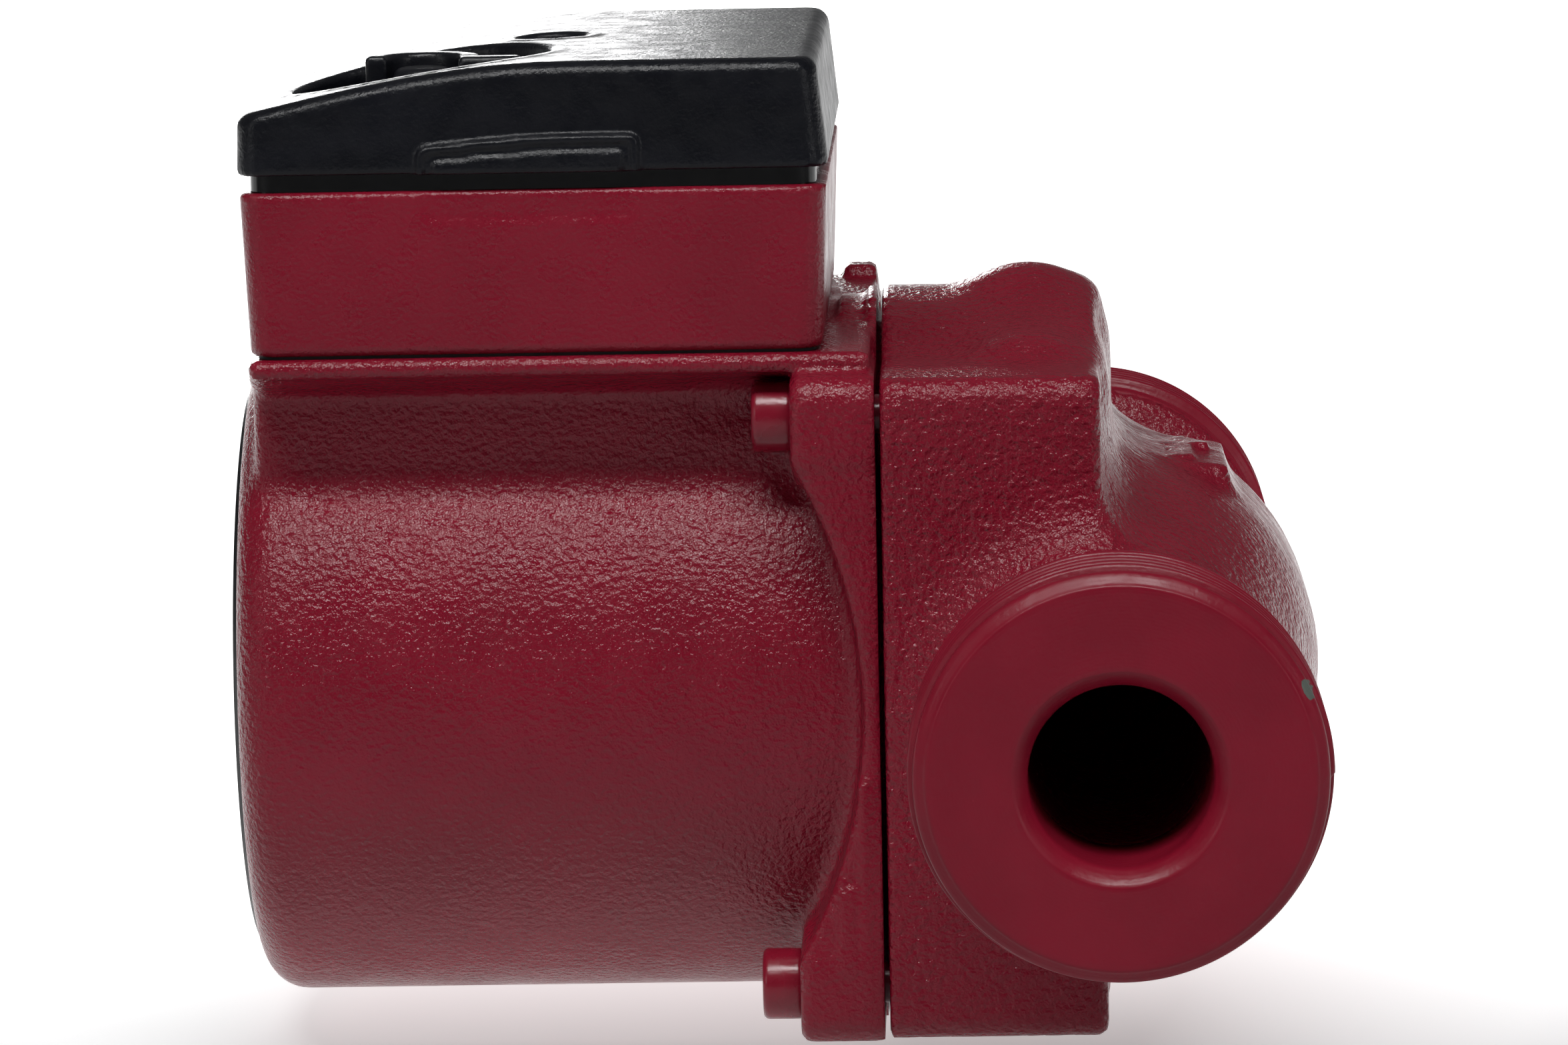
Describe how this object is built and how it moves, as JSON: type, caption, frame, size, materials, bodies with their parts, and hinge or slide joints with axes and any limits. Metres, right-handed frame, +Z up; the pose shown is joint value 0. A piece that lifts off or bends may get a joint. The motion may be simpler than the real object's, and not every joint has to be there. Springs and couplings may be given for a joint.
{
  "type": "circulator pump",
  "caption": "Wet-rotor circulator pump: in-line cast housing with two threaded union ports, cylindrical canned motor and a terminal box with a speed knob on top.",
  "frame": {"origin": "centre of the inlet port's sealing face, on the pipe axis", "axes": "+Y along the pipe from the inlet to the outlet; +X along the rotor axis, from the motor's closed end to the pump's back; +Z up, with the terminal box on top"},
  "size_m": [0.131, 0.18, 0.1221],
  "materials": {
    "painted_cast_iron": "dark crimson paint over pebbled cast iron",
    "painted_aluminium": "dark crimson paint over die-cast aluminium, orange-peel texture",
    "black_lid_plastic": "fine-grained black polyamide",
    "gloss_black_plastic": "smooth glossy black",
    "black_plate": "black domed plate",
    "stainless": "drawn stainless steel",
    "zinc_steel": "zinc-plated steel",
    "electrical_steel": "stacked laminations",
    "copper_wire": "enamelled copper wire",
    "ceramic_white": "sintered alumina",
    "carbon": "carbon-graphite",
    "rubber_black": "moulded EPDM",
    "composite_impeller": "glass-filled composite",
    "brass_screw": "turned brass",
    "lead_insulation": "silicone wire insulation",
    "terminal_plastic": "pale moulded plastic",
    "capacitor_can": "drawn aluminium can"
  },
  "bodies": {
    "pump": {"pump_housing": "painted_cast_iron", "neck_ring": "stainless", "housing_gasket": "rubber_black", "front_bearing": "ceramic_white", "rear_bearing": "ceramic_white", "bearing_plate": "stainless", "rotor_can": "stainless", "stator_core": "electrical_steel", "windings": "copper_wire", "stator_leads": "lead_insulation", "stator_housing": "painted_aluminium", "housing_screws": "painted_aluminium", "nameplate": "black_plate", "terminal_box": "painted_aluminium", "box_seal": "rubber_black", "box_screws": "zinc_steel", "terminal_carrier": "gloss_black_plastic", "terminal_block": "terminal_plastic", "terminal_screws": "zinc_steel", "earth_screw": "brass_screw", "capacitor": "capacitor_can", "speed_switch": "gloss_black_plastic", "gland_body": "gloss_black_plastic", "gland_seal": "rubber_black", "gland_nut": "gloss_black_plastic"},
    "rotor": {"shaft": "ceramic_white", "rotor_core": "electrical_steel", "rotor_cladding": "stainless", "thrust_bearing": "carbon", "thrust_bearing_retainer": "rubber_black", "impeller": "composite_impeller"},
    "vent_seal": {"vent_seal": "rubber_black"},
    "vent_screw": {"vent_screw": "zinc_steel"},
    "speed_knob": {"speed_knob": "black_lid_plastic"},
    "lid": {"lid": "black_lid_plastic", "lid_seal": "rubber_black"},
    "lid_screw": {"lid_screw": "zinc_steel"}
  },
  "joints": [
    {"name": "rotor_spin", "type": "hinge", "parent": "pump", "child": "rotor", "pos_m": [-0.05, 0.09, 0], "axis": [1, 0, 0], "continuous": true},
    {"name": "speed_select", "type": "hinge", "parent": "pump", "child": "speed_knob", "pos_m": [-0.081, 0.07, 0.07], "axis": [0, 0, 1], "range_deg": [-60, 60]},
    {"name": "vent_travel", "type": "slide", "parent": "pump", "child": "vent_seal", "axis": [-1, 0, 0], "range_m": [0, 0.0045]},
    {"name": "vent_turn", "type": "hinge", "parent": "vent_seal", "child": "vent_screw", "pos_m": [-0.105, 0.09, 0], "axis": [-1, 0, 0], "range_deg": [0, 1080]},
    {"name": "lid_lift", "type": "slide", "parent": "pump", "child": "lid", "axis": [0, 0, 1], "range_m": [0, 0.04]},
    {"name": "lid_screw_turn", "type": "hinge", "parent": "lid", "child": "lid_screw", "pos_m": [-0.0665, 0.09, 0.07], "axis": [0, 0, 1], "continuous": true}
  ],
  "couplings": [
    {"joint": "vent_travel", "follows": "vent_turn", "m_per_rad": 0.00023873}
  ]
}
